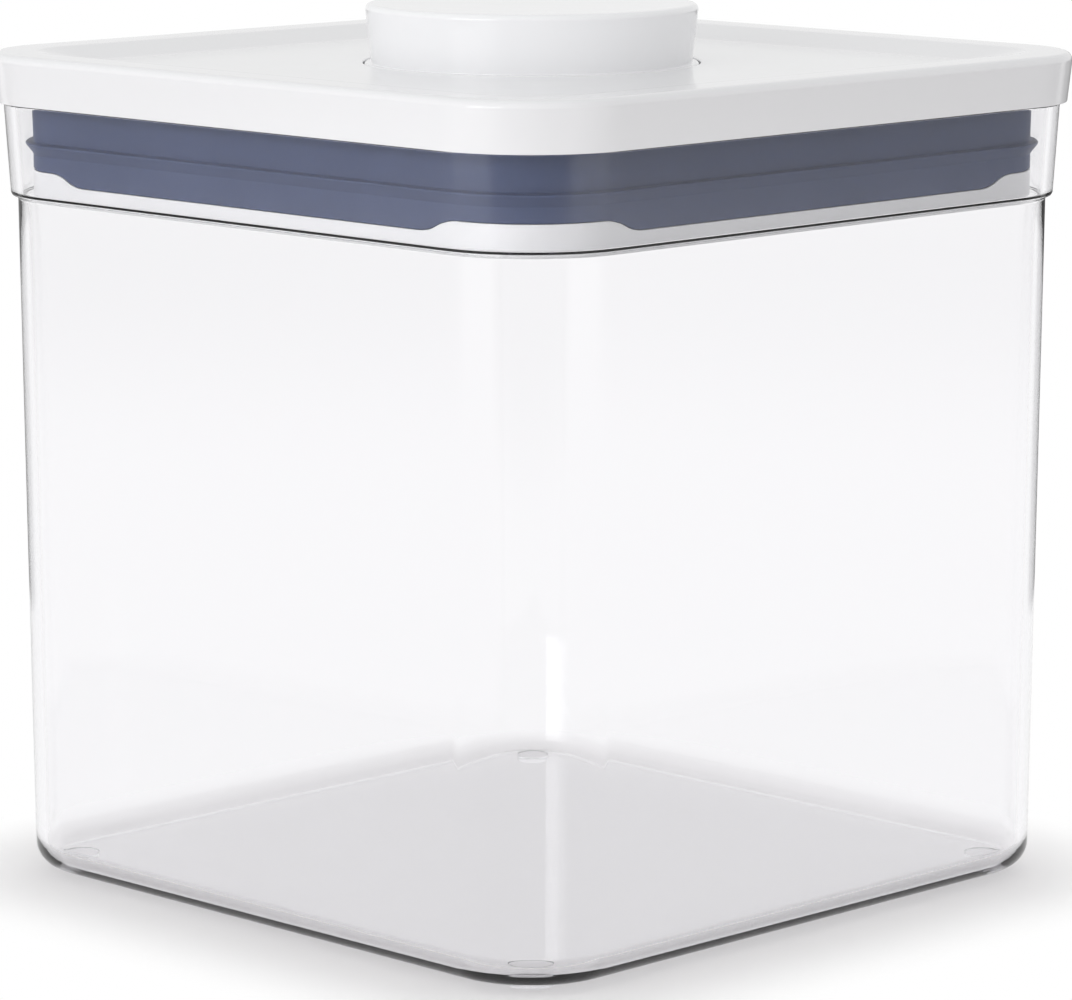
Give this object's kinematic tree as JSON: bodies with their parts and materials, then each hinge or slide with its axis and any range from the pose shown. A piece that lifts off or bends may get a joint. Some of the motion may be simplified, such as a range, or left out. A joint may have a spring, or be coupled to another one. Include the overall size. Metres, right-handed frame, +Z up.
{
  "type": "food storage container",
  "caption": "Clear square storage canister with a stepped collar and a white push-button lid whose button spreads a silicone gasket to seal it.",
  "frame": {"origin": "middle of the base, on the surface that the feet stand on", "axes": "+Z up; the four flat sides face +X, -X, +Y and -Y"},
  "size_m": [0.16, 0.16, 0.1705],
  "materials": {
    "clear_plastic": "clear, polished",
    "white_plastic": "smooth, soft gloss",
    "silicone": "matte silicone",
    "inner_plastic": "moulded",
    "spring_steel": "drawn wire"
  },
  "bodies": {
    "container": {"container_body": "clear_plastic"},
    "lid": {"lid_cover": "white_plastic", "lid_base": "white_plastic", "seal_gasket": "silicone", "return_spring": "spring_steel"},
    "button": {"push_button": "white_plastic", "button_plunger": "inner_plastic"},
    "latch": {"latch_wire": "spring_steel"},
    "front_pusher": {"seal_pusher_front": "inner_plastic"},
    "right_pusher": {"seal_pusher_right": "inner_plastic"},
    "back_pusher": {"seal_pusher_back": "inner_plastic"},
    "left_pusher": {"seal_pusher_left": "inner_plastic"}
  },
  "joints": [
    {"name": "lid_lift", "type": "slide", "parent": "container", "child": "lid", "axis": [0, 0, 1], "range_m": [0, 0.12]},
    {"name": "button_press", "type": "slide", "parent": "lid", "child": "button", "axis": [0, 0, -1], "range_m": [0, 0.0095], "stiffness_N_per_m": 250, "springref_m": -0.02, "deforming": ["return_spring", "seal_gasket"]},
    {"name": "latch_swing", "type": "hinge", "parent": "lid", "child": "latch", "pos_m": [0.0125, 0.023, 0.139], "axis": [0, 1, 0], "range_deg": [0, 13.2]},
    {"name": "front_seal", "type": "slide", "parent": "lid", "child": "front_pusher", "axis": [0, -1, 0], "range_m": [0, 0.0016]},
    {"name": "right_seal", "type": "slide", "parent": "lid", "child": "right_pusher", "axis": [1, 0, 0], "range_m": [0, 0.0016]},
    {"name": "back_seal", "type": "slide", "parent": "lid", "child": "back_pusher", "axis": [0, 1, 0], "range_m": [0, 0.0016]},
    {"name": "left_seal", "type": "slide", "parent": "lid", "child": "left_pusher", "axis": [-1, 0, 0], "range_m": [0, 0.0016]}
  ],
  "couplings": [
    {"joint": "latch_swing", "follows": "button_press", "rad_per_m": 24.1},
    {"joint": "front_seal", "follows": "button_press", "ratio": 0.1684},
    {"joint": "right_seal", "follows": "button_press", "ratio": 0.1684},
    {"joint": "back_seal", "follows": "button_press", "ratio": 0.1684},
    {"joint": "left_seal", "follows": "button_press", "ratio": 0.1684}
  ]
}
